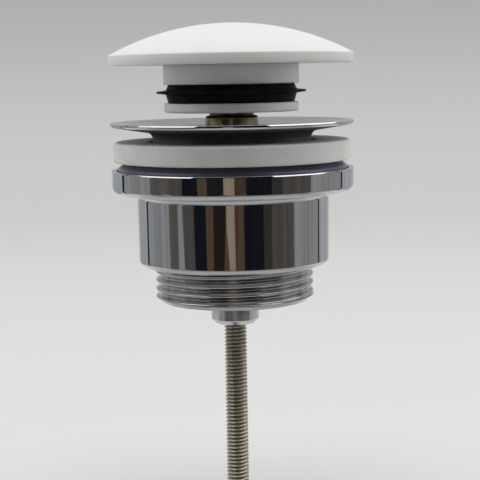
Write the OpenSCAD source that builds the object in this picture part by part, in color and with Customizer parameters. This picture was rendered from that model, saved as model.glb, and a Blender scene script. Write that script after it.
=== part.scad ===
// Push-to-open basin waste with a central clamping rod.
// The origin is on the axis, at the top of the throat's straight wall. +Z is up.

/* [Cap] */
// Diameter of the domed cap
cap_d = 64; // [60:0.5:70]
// Height of the cap's upright rim
cap_rim_h = 2.6; // [1.8:0.1:4]
// Rise of the dome above the rim
dome_rise = 8.1; // [7.4:0.1:11]
// Rounding of the cap's edges
cap_edge_r = 0.6; // [0.3:0.1:0.8]

/* [Plug] */
// Diameter of the collar under the cap
collar_d = 35.6; // [34:0.2:37]
// Height of the collar
collar_h = 5.1; // [4:0.1:6]
// Height of the groove that holds the seal
groove_h = 4.8; // [4:0.1:6]
// Diameter at the bottom of that groove
groove_d = 29; // [27:0.5:31]
// Diameter of the disc under the seal
disc_d = 35.3; // [34:0.2:36.5]
// Height of that disc
disc_h = 2.4; // [1.8:0.1:3]
// Diameter of the spigot that the cap sits on
spigot_d = 24; // [20:0.5:26]
// Full stroke of the plug, with the last millimetre of over-travel
stroke = 13.5; // [12:0.1:15]
// Depth of the plug's underside below the throat's top at full stroke
closed_depth = 6.5; // [5:0.1:7]
// Play between the spigot and the cap's recess
cap_play = 0.1; // [0.05:0.01:0.2]

/* [Lip seal] */
// Thickness of the sealing fin
fin_t = 0.6; // [0.4:0.05:1]
// Radial gap between the fin and the throat's bore
fin_gap = 0.2; // [0.1:0.05:0.3]
// Height of the fin above the seal's lower face
fin_z = 2.8; // [2:0.1:3.2]
// How far the seal stands back from the disc at its two faces
seal_setback = 1.1; // [0.6:0.1:1.6]
// Slack of the seal in its groove
seal_slack = 0.05; // [0.02:0.01:0.1]

/* [Flange] */
// Diameter of the flange
flange_d = 64.2; // [60:0.2:70]
// Thickness of the dish
dish_t = 1.0; // [0.8:0.1:1.6]
// Slope of the dish in degrees
dish_slope = 9; // [6:0.5:12]
// Fillet between the dish and the throat
throat_fillet = 2; // [1:0.1:3]
// Outside diameter of the throat
throat_d = 41.7; // [40.5:0.1:43]
// Wall of the throat
throat_wall = 1.0; // [0.8:0.1:1.4]
// Length of the throat's straight wall
throat_len = 16; // [15:0.5:20]
// Diameter of the hub in the throat
hub_d = 20; // [19:0.5:22]
// Height of the hub
hub_h = 5; // [4.5:0.1:5.5]
// Gap between the plug's underside at full stroke and the hub
hub_gap = 2; // [1.9:0.1:2.5]
// Width of the spider arms
arm_w = 3; // [2:0.1:4]
// Height of the spider arms in the throat
arm_h = 4; // [3:0.1:4.5]

/* [Cartridge] */
// Outside diameter of the cartridge housing
housing_d = 14; // [13.6:0.1:14.6]
// Wall of the housing
housing_wall = 1.0; // [0.8:0.05:1.2]
// Height of the housing's top above the throat's top
housing_top = 6; // [5:0.1:6.5]
// Width of the housing's shoulder beyond the tube
shoulder_w = 1.6; // [1.2:0.1:2]
// Height of the shoulder
shoulder_h = 0.8; // [0.6:0.05:1]
// Section of the O-ring under the shoulder
housing_ring_w = 0.8; // [0.7:0.05:0.9]
// Distance across the flats of the lock nut
nut_af = 19; // [18:0.5:20]
// Height of the lock nut
nut_h = 3.5; // [2.5:0.1:5]
// Radial running clearance of the plunger in the housing
plunger_play = 0.1; // [0.05:0.01:0.15]
// Wall of the plunger around the spring
plunger_wall = 1.4; // [1.2:0.05:1.6]
// Wall of the plunger around the follower ring
skirt_wall = 0.85; // [0.8:0.05:0.95]
// Section of the O-ring on the plunger
plunger_ring_w = 0.75; // [0.6:0.05:0.8]
// Length of the plunger's end wall under its stud
crown_t = 2; // [1.5:0.1:2.5]
// Diameter of the plunger's stud
stud_d = 8; // [7:0.5:9]
// Diameter of the threaded insert in the plug
insert_d = 13; // [12:0.5:15]
// Length of the threaded insert
insert_h = 5; // [4:0.1:5.5]
// Floor of the plug under the insert
insert_floor = 0.6; // [0.5:0.05:0.8]

/* [Latch] */
// Diameter of the post that carries the latch groove
post_d = 6.4; // [6:0.1:6.8]
// Diameter of the post's head
head_d = 8.6; // [8.2:0.1:8.8]
// Height of the post's head
head_h = 1.5; // [1.2:0.1:2]
// Top of the post's head, below the throat's top
head_drop = 2.8; // [2.4:0.1:3.2]
// Height of the follower ring
ring_h = 3.2; // [2.6:0.1:3.6]
// Diameter of the follower pin
pin_d = 1.0; // [0.8:0.05:1.1]
// Turn of the follower over the stroke in degrees
swing = 31; // [26:1:33]
// Rise from the bottom of the stroke to the latched position
latch_rise = 1; // [0.8:0.1:1.2]
// Radial clearance of the follower ring, inside and out
ring_play = 0.1; // [0.06:0.01:0.14]
// Play of the ring between its shoulder, the clip and the head
ring_float = 0.15; // [0.1:0.05:0.2]
// Thickness of the circlip
clip_t = 0.7; // [0.5:0.05:0.9]
// Depth of the circlip's groove
clip_depth = 0.35; // [0.25:0.05:0.4]

/* [Return spring] */
// Wire diameter of the spring
wire_d = 0.9; // [0.7:0.05:0.95]
// Mean diameter of the spring
coil_d = 7; // [6.8:0.1:7.4]
// Number of turns
coil_turns = 7; // [5:1:7]

/* [Clamp] */
// Diameter of the clamping rod
rod_d = 6; // [5:0.5:8]
// Length of the clamping rod
rod_len = 80; // [60:1:110]
// Length of rod screwed into the cartridge
rod_grip = 5.5; // [4:0.1:7]
// Radial clearance of the rod in the boss
rod_play = 0.05; // [0.02:0.01:0.1]
// Diameter of the foam washer
washer_d = 62.5; // [58:0.5:66]
// Thickness of the foam washer
washer_t = 5.15; // [3:0.05:8]
// Gap between the washer and the throat's top
washer_drop = 0.45; // [0.3:0.05:3]
// Radial gap between the throat and the bores of the two rings
ring_gap = 1.15; // [1:0.05:1.6]
// Height of the tapered gasket
gasket_h = 4.4; // [3.6:0.1:6]
// Height of the gasket's upright edge
gasket_edge_h = 2.7; // [0.8:0.1:3]
// Width of the gasket's taper
gasket_taper = 1.7; // [1.2:0.1:4]
// Rounding of the gasket's shoulder
gasket_round = 1.6; // [0.4:0.1:1.8]
// Radial play of the gasket in the body's rim
gasket_play = 0.1; // [0.05:0.05:0.3]

/* [Lower body] */
// Diameter of the body's rim
rim_d = 63.8; // [60:0.2:68]
// Height of the rim
rim_h = 6.1; // [5:0.1:8]
// Width of the lip around the gasket
lip_w = 1.3; // [1:0.1:2]
// Depth of the seat inside the lip
seat_depth = 2.2; // [1.8:0.1:3]
// Rounding under the rim
rim_round = 1.2; // [0.6:0.1:2.5]
// Diameter of the cup
cup_d = 50.8; // [49:0.1:54]
// Fillet between the rim and the cup
cup_fillet = 1.6; // [0.5:0.1:2]
// Height of the cup below the rim
cup_h = 19.15; // [18:0.05:30]
// Wall of the cup
cup_wall = 2; // [1.5:0.1:2.4]
// Rounding at the foot of the cup
cup_round = 1.3; // [0.8:0.1:2.2]
// Diameter of the threaded tail
tail_d = 41.91; // [41:0.01:42.5]
// Length of the tail
tail_len = 9.65; // [7:0.05:20]
// Bore of the tail
tail_bore_d = 36.8; // [34:0.2:38]
// Chamfer at the tail's end
tail_chamfer = 1.2; // [0.5:0.1:1.4]
// Diameter of the central boss
boss_d = 12.8; // [11:0.1:16]
// Length of the boss below the tail
boss_drop = 6.45; // [4:0.05:10]
// Chamfer at the boss's end
boss_chamfer = 1.2; // [0.6:0.1:1.8]
// Height of the spider arms in the tail
tail_arm_h = 5; // [3:0.1:5.5]

/* [Hidden] */
$fn = 96;

// Small roundings and overlaps
edge_r = 0.3;
soft_r = 0.9;
bite = 0.5;
far = 100;

// Flange levels and radii
throat_r = throat_d / 2;
bore_r = throat_r - throat_wall;
flange_r = flange_d / 2;
corner_z = throat_fillet * tan((90 - dish_slope) / 2);
rim_under = corner_z + (flange_r - throat_r) * tan(dish_slope);
rim_over = rim_under + dish_t;
mouth_z = rim_over - (flange_r - bore_r) * tan(dish_slope);
hub_top = -(closed_depth + hub_gap);
arm_count = 3;
arm_first = 90;

// Plug levels and radii, at the open position
plug_base = stroke - closed_depth;
disc_top = plug_base + disc_h;
groove_top = disc_top + groove_h;
collar_top = groove_top + collar_h;
cavity_gap = 0.7;
cavity_top = plug_base + housing_top + closed_depth + cavity_gap;
insert_base = cavity_top + insert_floor;
spigot_top = insert_base + insert_h;
cavity_r = housing_d / 2 + 1;
stud_hole_gap = 0.1;
stud_short = 0.4;

// Cap
cap_r = cap_d / 2;
cap_rim_top = collar_top + cap_rim_h;
dome_r = (cap_r * cap_r + dome_rise * dome_rise) / (2 * dome_rise);
dome_centre = cap_rim_top + dome_rise - dome_r;

// Cartridge levels and radii
housing_r = housing_d / 2;
housing_bore_r = housing_r - housing_wall;
shoulder_base = hub_top + housing_ring_w;
plunger_r = housing_bore_r - plunger_play;
spring_bore_r = plunger_r - plunger_wall;
skirt_r = plunger_r - skirt_wall;
head_top = -head_drop;
head_base = head_top - head_h;
ring_top = head_base - ring_float;
ring_base = ring_top - ring_h;
skirt_top = head_base - ring_float / 3;
clip_top = ring_base - ring_float;
clip_slack = 0.05;
clip_base = clip_top - clip_t - 2 * clip_slack;
plunger_base = clip_base - 0.75;
plunger_ceiling = cavity_top - crown_t;
plunger_ring_z = 1;
end_gap = 0.6;
end_plug_top = plunger_base - stroke - end_gap;
end_plug_spigot = 4;
housing_base = end_plug_top - end_plug_spigot;
end_plug_foot = 4;
end_plug_base = housing_base - end_plug_foot;

// Latch groove: a heart-shaped loop of four straight lanes on the +X side of the post
post_r = post_d / 2;
post_spigot_r = 2;
post_spigot_h = 1.5;
guide_r = (coil_d - wire_d) / 2 - 0.45;
guide_h = 2;
pin_z = (ring_top + ring_base) / 2;
pin_inner = post_r - 0.7;
pin_outer = skirt_r - ring_play - 0.05;
lane_r = (pin_inner + post_r) / 2;
lane_y = lane_r * sin(swing);
lane_half = pin_d / 2 + 0.38;
groove_floor = pin_inner * cos(swing) - pin_d / 2 * sin(swing) - 0.1;
lane_low = pin_z - stroke;

// Clamp levels and radii
rod_r = rod_d / 2;
rod_top = end_plug_base + rod_grip;
rod_chamfer = 0.6;
ring_bore_r = throat_r + ring_gap;
washer_top = -washer_drop;
gasket_top = washer_top - washer_t;
seat_z = gasket_top - gasket_h;

// Lower body levels and radii
rim_r = rim_d / 2;
rim_top = seat_z + seat_depth;
rim_base = rim_top - rim_h;
seat_r = rim_r - lip_w;
gasket_r = seat_r - gasket_play;
cup_r = cup_d / 2;
cup_bore_r = cup_r - cup_wall;
cup_draft = 0.15;
tail_top = rim_base - cup_h;
tail_base = tail_top - tail_len;
tail_r = tail_d / 2;
tail_bore_r = tail_bore_d / 2;
cup_floor = tail_top + cup_wall + 0.4;
boss_r = boss_d / 2;
boss_base = tail_base - boss_drop;
tail_arm_top = tail_top - 1.1;
tail_arm_base = tail_arm_top - tail_arm_h;

function unit(v) = v / norm(v);

// Twice the signed area at a corner: positive where an anticlockwise outline is convex
function bend(before, at, after) =
    (at[0] - before[0]) * (after[1] - at[1]) - (at[1] - before[1]) * (after[0] - at[0]);

// The sliver between a sharp corner and the arc that rounds it
module corner_sliver(before, at, after, r) {
    u = unit(before - at);
    v = unit(after - at);
    half = acos(u * v) / 2;
    run = r / tan(half);
    centre = at + unit(u + v) * r / sin(half);
    difference() {
        polygon([at, at + u * run, centre, at + v * run]);
        translate(centre) circle(r);
    }
}

// An anticlockwise outline of [x, y, corner radius] points with its corners rounded by true arcs
module outline(points) {
    n = len(points);
    flat = [for (q = points) [q[0], q[1]]];
    bends = [for (i = [0 : n - 1]) bend(flat[(i + n - 1) % n], flat[i], flat[(i + 1) % n])];
    difference() {
        union() {
            polygon(flat);
            for (i = [0 : n - 1]) if (points[i][2] > 0 && bends[i] < 0)
                corner_sliver(flat[(i + n - 1) % n], flat[i], flat[(i + 1) % n], points[i][2]);
        }
        for (i = [0 : n - 1]) if (points[i][2] > 0 && bends[i] > 0)
            corner_sliver(flat[(i + n - 1) % n], flat[i], flat[(i + 1) % n], points[i][2]);
    }
}

module turned(points) rotate_extrude() outline(points);

module up(z) translate([0, 0, z]) children();

module ring_of_arms(inner, outer, base, height) {
    for (i = [0 : arm_count - 1])
        rotate([0, 0, arm_first + i * 360 / arm_count])
            translate([inner, -arm_w / 2, base])
                cube([outer - inner, arm_w, height]);
}

// White cap: a shallow spherical dome over an upright rim, with a recess for the plug's spigot
module cap_outline() {
    inner_r = dome_r - cap_edge_r;
    edge_x = cap_r - cap_edge_r;
    edge_z = dome_centre + sqrt(inner_r * inner_r - edge_x * edge_x);
    meet = [0, dome_centre] + unit([edge_x, edge_z - dome_centre]) * dome_r;
    difference() {
        intersection() {
            translate([0, dome_centre]) circle(dome_r, $fn = 360);
            translate([0, collar_top]) square([cap_r, dome_rise + cap_rim_h + 1]);
        }
        difference() {
            polygon([[edge_x, edge_z], [cap_r + 1, edge_z], [cap_r + 1, edge_z + 2], meet + [0.4, 1], meet]);
            translate([edge_x, edge_z]) circle(cap_edge_r);
        }
        corner_sliver([0, collar_top], [cap_r, collar_top], [cap_r, cap_rim_top], cap_edge_r);
        translate([-1, collar_top - 1])
            square([spigot_d / 2 + cap_play + 1, spigot_top - collar_top + cap_play + 1]);
    }
}

module cap() color("white") rotate_extrude() cap_outline();

// White spool: disc, seal groove and collar, hollow below so that it swallows the housing's top
module plug_body() color("gainsboro")
    turned([
        [cavity_r, plug_base, edge_r],
        [disc_d / 2, plug_base, edge_r * 2],
        [disc_d / 2, disc_top, edge_r],
        [groove_d / 2, disc_top, 0],
        [groove_d / 2, groove_top, 0],
        [collar_d / 2, groove_top, edge_r],
        [collar_d / 2, collar_top, edge_r],
        [spigot_d / 2, collar_top, 0],
        [spigot_d / 2, spigot_top, edge_r],
        [insert_d / 2, spigot_top, 0],
        [insert_d / 2, insert_base, 0],
        [stud_d / 2 + stud_hole_gap, insert_base, 0],
        [stud_d / 2 + stud_hole_gap, cavity_top, 0],
        [cavity_r, cavity_top, 0]
    ]);

// Black seal: bevelled ring with a thin fin that wipes the throat
module lip_seal() {
    base = disc_top + seal_slack;
    top = groove_top - seal_slack;
    face_r = disc_d / 2 - seal_setback;
    root_r = face_r + seal_setback * 0.6;
    fin_r = bore_r - fin_gap;
    fin_mid = disc_top + fin_z;
    color([0.06, 0.06, 0.07])
        turned([
            [groove_d / 2 + seal_slack, base, 0],
            [face_r, base, edge_r],
            [root_r, fin_mid - fin_t, edge_r],
            [fin_r, fin_mid - fin_t / 2, fin_t / 4],
            [fin_r, fin_mid + fin_t / 2, fin_t / 4],
            [root_r, fin_mid + fin_t, edge_r],
            [face_r, top, edge_r],
            [groove_d / 2 + seal_slack, top, 0]
        ]);
}

// Brass insert that takes the plunger's stud
module plug_insert() color("goldenrod")
    turned([
        [stud_d / 2, insert_base, 0],
        [insert_d / 2, insert_base, 0],
        [insert_d / 2, spigot_top, 0],
        [stud_d / 2, spigot_top, 0]
    ]);

// Brass sleeve with a closed, studded top, a spring bore and a skirt for the follower ring
module plunger() {
    ring_seat_r = plunger_r - plunger_ring_w * 0.9;
    ring_half = plunger_ring_w * 0.6;
    color("darkgoldenrod")
        turned([
            [skirt_r, plunger_base, 0],
            [plunger_r, plunger_base, edge_r],
            [plunger_r, plunger_ring_z - ring_half, 0],
            [ring_seat_r, plunger_ring_z - ring_half, 0],
            [ring_seat_r, plunger_ring_z + ring_half, 0],
            [plunger_r, plunger_ring_z + ring_half, 0],
            [plunger_r, cavity_top, 0],
            [stud_d / 2, cavity_top, 0],
            [stud_d / 2, spigot_top - stud_short, edge_r],
            [0, spigot_top - stud_short, 0],
            [0, plunger_ceiling, 0],
            [spring_bore_r, plunger_ceiling, 0],
            [spring_bore_r, skirt_top, 0],
            [skirt_r, skirt_top, 0],
            [skirt_r, clip_top, 0],
            [skirt_r + clip_depth, clip_top, 0],
            [skirt_r + clip_depth, clip_base, 0],
            [skirt_r, clip_base, 0]
        ]);
}

// Steel circlip with its gap, in the groove of the plunger's skirt
module plunger_clip() {
    outer = skirt_r + clip_depth - clip_slack;
    inner = skirt_r - 0.75;
    color("dimgray") difference() {
        up(clip_base + clip_slack) difference() {
            cylinder(r = outer, h = clip_t);
            up(-1) cylinder(r = inner, h = clip_t + 2);
        }
        up(clip_base - 1) linear_extrude(clip_t + 3)
            polygon([[0, 0], [-2 * outer, -outer], [-2 * outer, outer]]);
    }
}

// Rubber O-ring in the plunger's groove
module plunger_o_ring() {
    section = plunger_ring_w / 2;
    color("black") up(plunger_ring_z) rotate_extrude()
        translate([plunger_r - plunger_ring_w * 0.9 + section + 0.02, 0]) circle(section, $fn = 32);
}

// Ring that turns round the post inside the plunger, with a radial hole for its pin
module follower_ring() color("silver") difference() {
    turned([
        [post_r + ring_play * 1.5, ring_base, 0],
        [skirt_r - ring_play, ring_base, edge_r / 2],
        [skirt_r - ring_play, ring_top, edge_r / 2],
        [post_r + ring_play * 1.5, ring_top, 0]
    ]);
    up(pin_z) rotate([0, 90, 0]) cylinder(d = pin_d, h = far);
}

// Steel pin that runs in the latch groove
module follower_pin() color("gray")
    translate([pin_inner, 0, pin_z]) rotate([0, 90, 0]) cylinder(d = pin_d, h = pin_outer - pin_inner);

// Chromed flange: dish, throat, spider and hub in one casting
module flange() color("silver") difference() {
    union() {
        turned([
            [bore_r, -throat_len, 0],
            [throat_r, -throat_len, edge_r],
            [throat_r, corner_z, throat_fillet],
            [flange_r, rim_under, edge_r],
            [flange_r, rim_over, edge_r],
            [bore_r, mouth_z, throat_fillet + dish_t]
        ]);
        up(hub_top - hub_h) cylinder(d = hub_d, h = hub_h);
        ring_of_arms(hub_d / 2 - bite, bore_r + bite, hub_top - (hub_h + arm_h) / 2, arm_h);
    }
    up(hub_top - hub_h - 1) cylinder(r = housing_r, h = hub_h + 2);
}

// Brass tube of the cartridge, with a rounded top and a shoulder that sits on the hub
module cartridge_housing() color("darkgoldenrod")
    turned([
        [housing_bore_r, housing_base, 0],
        [housing_r, housing_base, edge_r],
        [housing_r, shoulder_base, 0],
        [housing_r + shoulder_w, shoulder_base, edge_r / 2],
        [housing_r + shoulder_w, shoulder_base + shoulder_h, edge_r / 2],
        [housing_r, shoulder_base + shoulder_h, 0],
        [housing_r, housing_top, housing_wall * 0.8],
        [housing_bore_r, housing_top, 0]
    ]);

// Rubber O-ring between the shoulder and the hub
module housing_o_ring() {
    section = housing_ring_w / 2 - 0.01;
    color("black") up(hub_top + housing_ring_w / 2) rotate_extrude()
        translate([housing_r + section + 0.05, 0]) circle(section, $fn = 32);
}

// Hexagon nut that locks the housing under the hub, chamfered at both faces
module hub_lock_nut() {
    corner = nut_af / 2 / cos(30);
    color("silver") up(hub_top - hub_h - nut_h) difference() {
        intersection() {
            cylinder(r = corner, h = nut_h, $fn = 6);
            turned([
                [0, 0, 0],
                [nut_af / 2, 0, 0],
                [corner + 0.01, 0.6, 0],
                [corner + 0.01, nut_h - 0.6, 0],
                [nut_af / 2, nut_h, 0],
                [0, nut_h, 0]
            ]);
        }
        up(-1) cylinder(r = housing_r, h = nut_h + 2);
    }
}

// Brass plug that closes the housing, holds the post on top and the rod below
module housing_end_plug() color("goldenrod")
    turned([
        [rod_r, end_plug_base, 0],
        [housing_r, end_plug_base, edge_r * 2],
        [housing_r, housing_base, 0],
        [housing_bore_r, housing_base, 0],
        [housing_bore_r, end_plug_top, 0],
        [post_spigot_r, end_plug_top, 0],
        [post_spigot_r, end_plug_top - post_spigot_h, 0],
        [0, end_plug_top - post_spigot_h, 0],
        [0, rod_top, 0],
        [rod_r, rod_top, 0]
    ]);

// One straight lane of the latch groove, drawn in the plane of its floor
module lane(a, b) {
    run = norm(b - a);
    translate(a) rotate(atan2(b[1] - a[1], b[0] - a[0])) {
        circle(lane_half, $fn = 32);
        translate([0, -lane_half]) square([run, 2 * lane_half]);
        translate([run, 0]) circle(lane_half, $fn = 32);
    }
}

// Heart-shaped loop: down one lane, up into the notch, down again and back up the other lane
module latch_groove() {
    start = [0, pin_z];
    notch = [0, lane_low + latch_rise];
    translate([groove_floor, 0, 0]) rotate([90, 0, 90]) linear_extrude(post_r)
        for (side = [1, -1]) {
            foot = [side * lane_y, lane_low];
            lane(start, foot);
            lane(foot, notch);
        }
}

// Post with the latch groove, a head that stops the follower ring and a guide for the spring
module cam_post() color("silver") difference() {
    turned([
        [0, end_plug_top - post_spigot_h, 0],
        [post_spigot_r, end_plug_top - post_spigot_h, 0],
        [post_spigot_r, end_plug_top, 0],
        [post_r, end_plug_top, 0],
        [post_r, head_base, 0],
        [head_d / 2, head_base, 0],
        [head_d / 2, head_top, edge_r],
        [guide_r, head_top, 0],
        [guide_r, head_top + guide_h, edge_r * 2],
        [0, head_top + guide_h, 0]
    ]);
    latch_groove();
}

// Height of the coil's centre line after a number of turns, with one closed turn at each end
function coil_rise(turn, height) =
    turn < 1 ? wire_d * turn
    : turn > coil_turns - 1 ? height - wire_d * (coil_turns - turn)
    : wire_d + (height - 2 * wire_d) * (turn - 1) / (coil_turns - 2);

// Coil spring between the post's head and the plunger's ceiling
module return_spring() {
    steps = 14;
    sides = 6;
    rings = coil_turns * steps;
    height = plunger_ceiling - head_top - wire_d;
    wire_r = wire_d / 2;
    points = [
        for (i = [0 : rings], k = [0 : sides - 1])
            let (r = coil_d / 2 + wire_r * cos(360 * k / sides), a = 360 * i / steps)
            [r * cos(a), r * sin(a), coil_rise(i / steps, height) + wire_r * sin(360 * k / sides)]
    ];
    walls = [
        for (i = [0 : rings - 1], k = [0 : sides - 1])
            let (m = (k + 1) % sides)
            [i * sides + k, i * sides + m, (i + 1) * sides + m, (i + 1) * sides + k]
    ];
    ends = [
        [for (k = [sides - 1 : -1 : 0]) k],
        [for (k = [0 : sides - 1]) rings * sides + k]
    ];
    color("lightsteelblue") up(head_top + wire_r) polyhedron(points, concat(walls, ends), convexity = 10);
}

// Rod that hangs from the cartridge, with chamfered ends
module clamp_rod() color("gray")
    turned([
        [0, rod_top - rod_len, 0],
        [rod_r - rod_chamfer, rod_top - rod_len, 0],
        [rod_r, rod_top - rod_len + rod_chamfer, 0],
        [rod_r, rod_top - rod_chamfer, 0],
        [rod_r - rod_chamfer, rod_top, 0],
        [0, rod_top, 0]
    ]);

// Pale foam washer
module basin_washer() color("whitesmoke")
    turned([
        [ring_bore_r, gasket_top, edge_r],
        [washer_d / 2, gasket_top, soft_r],
        [washer_d / 2, washer_top, soft_r],
        [ring_bore_r, washer_top, edge_r]
    ]);

// Dark rubber gasket, tapered to centre the body under the basin
module taper_gasket() color([0.13, 0.14, 0.17])
    turned([
        [ring_bore_r, seat_z, 0],
        [gasket_r, seat_z, 0],
        [gasket_r, seat_z + gasket_edge_h, gasket_round],
        [gasket_r - gasket_taper, gasket_top, soft_r],
        [ring_bore_r, gasket_top, 0]
    ]);

// Chromed lower body: gasket seat, cup, threaded tail, spider and the boss that the rod screws through
module lower_body() color("silver") difference() {
    union() {
        turned([
            [tail_bore_r, tail_base, 0],
            [tail_r - tail_chamfer, tail_base, 0],
            [tail_r, tail_base + tail_chamfer, 0],
            [tail_r, tail_top, edge_r],
            [cup_r - cup_draft, tail_top, cup_round],
            [cup_r, rim_base, cup_fillet],
            [rim_r, rim_base, rim_round],
            [rim_r, rim_top, lip_w * 0.6],
            [seat_r, rim_top, lip_w * 0.3],
            [seat_r, seat_z, 0],
            [cup_bore_r, seat_z, edge_r],
            [cup_bore_r, cup_floor, cup_wall],
            [tail_bore_r, cup_floor, edge_r * 2]
        ]);
        turned([
            [0, boss_base, 0],
            [boss_r - boss_chamfer, boss_base, 0],
            [boss_r, boss_base + boss_chamfer, 0],
            [boss_r, tail_arm_top, edge_r],
            [0, tail_arm_top, 0]
        ]);
        ring_of_arms(boss_r - bite, tail_bore_r + bite, tail_arm_base, tail_arm_h);
    }
    up(boss_base - 1) cylinder(r = rod_r + rod_play, h = tail_arm_top - boss_base + 2);
}

cap();
plug_body();
lip_seal();
plug_insert();
plunger();
plunger_clip();
plunger_o_ring();
follower_ring();
follower_pin();
flange();
cartridge_housing();
housing_o_ring();
hub_lock_nut();
housing_end_plug();
cam_post();
return_spring();
clamp_rod();
basin_washer();
taper_gasket();
lower_body();
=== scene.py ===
"""Dresses a push-to-open basin waste: models its visible pieces and finishes every surface."""
import math

import bpy
from bpy.props import FloatProperty, FloatVectorProperty, IntProperty, PointerProperty
from mathutils import Euler, Matrix, Vector


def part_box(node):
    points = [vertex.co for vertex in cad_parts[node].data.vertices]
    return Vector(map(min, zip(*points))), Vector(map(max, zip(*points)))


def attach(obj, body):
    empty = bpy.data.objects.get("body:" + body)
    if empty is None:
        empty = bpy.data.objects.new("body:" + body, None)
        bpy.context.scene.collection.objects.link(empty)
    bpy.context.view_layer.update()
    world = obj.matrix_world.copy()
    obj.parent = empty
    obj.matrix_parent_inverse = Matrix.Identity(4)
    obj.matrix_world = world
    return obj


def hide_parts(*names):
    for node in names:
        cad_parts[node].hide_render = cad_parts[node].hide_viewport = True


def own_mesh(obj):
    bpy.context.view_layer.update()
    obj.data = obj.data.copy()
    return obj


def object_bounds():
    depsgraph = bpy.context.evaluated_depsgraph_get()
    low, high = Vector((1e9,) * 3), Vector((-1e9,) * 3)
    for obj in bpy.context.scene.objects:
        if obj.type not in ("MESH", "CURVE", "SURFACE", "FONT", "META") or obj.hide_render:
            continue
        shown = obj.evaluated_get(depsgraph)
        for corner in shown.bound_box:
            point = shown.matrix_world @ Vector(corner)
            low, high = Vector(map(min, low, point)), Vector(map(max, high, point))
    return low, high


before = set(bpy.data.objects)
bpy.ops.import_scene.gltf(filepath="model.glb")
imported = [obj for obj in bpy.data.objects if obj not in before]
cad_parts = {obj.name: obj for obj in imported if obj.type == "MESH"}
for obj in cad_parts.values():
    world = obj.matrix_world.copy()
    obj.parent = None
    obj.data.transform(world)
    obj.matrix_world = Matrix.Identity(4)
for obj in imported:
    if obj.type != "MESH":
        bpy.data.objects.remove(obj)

bl_info = {
    "name": "Basin waste dresser",
    "version": (1, 0, 0),
    "blender": (4, 5, 0),
    "location": "View3D > Sidebar > Basin waste",
    "description": "Models and finishes the pieces of a push-to-open basin waste around its solids",
    "category": "Object",
}

MM = 0.001
CAD_LOW, CAD_HIGH = [list(corner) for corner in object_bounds()]

# How finely the turned pieces and the cards are drawn
TURN_STEPS = 160
HUB_STEPS = 96
CARD_STEPS = 48
ROD_STEPS = 40
CORNER_STEPS = 7
CARD_DEGREES = 4
SMOOTH_ANGLE = math.radians(32)
MERGE_DISTANCE = 0.001 * MM

# Roundings of plain edges, from crisp to blunt
CRISP_EDGE = 0.08 * MM
FINE_EDGE = 0.2 * MM
SMALL_EDGE = 0.3 * MM
BLUNT_EDGE = 0.4 * MM

# How far the spiders' arms run into what they join
ARM_BITE = 0.5 * MM
THROAT_BITE = 0.4 * MM

# How far the edges of the mirrored panels stray round the axis
PANEL_WAVER = math.radians(3)

# How far the small cards stand before the panels, and the floor card above the floor
WEDGE_GAP = 5 * MM
FLOOR_CARD_GAP = 0.5 * MM

# Y of a level bearing where the backdrop's painted shade is darkest and where it is palest, and the foot's
# pale share
DARK_FULL = -0.75
DARK_NONE = 0.45
FOOT_SHARE = 0.5


def node_span(node):
    """Lowest height, highest height and outer radius of a turned solid."""
    low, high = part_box(node)
    return low[2], high[2], high[0]


def length(name, description, millimetres):
    """A length that a user would change, given in millimetres."""
    default = millimetres * MM
    return FloatProperty(name=name, description=description, default=default, unit="LENGTH", precision=5)


def angle(name, description, degrees):
    """An angle that a user would change, given in degrees."""
    return FloatProperty(name=name, description=description, default=math.radians(degrees), subtype="ANGLE")


def amount(name, description, value):
    """A plain number that a user would change."""
    return FloatProperty(name=name, description=description, default=value)


def power(name, description, watts):
    """A lamp's power that a user would change."""
    return FloatProperty(name=name, description=description, default=watts, unit="POWER")


def colour(name, description, rgb):
    """A colour that a user would change."""
    return FloatVectorProperty(
        name=name, description=description, default=rgb, subtype="COLOR", size=3, min=0.0, max=1.0
    )


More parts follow.
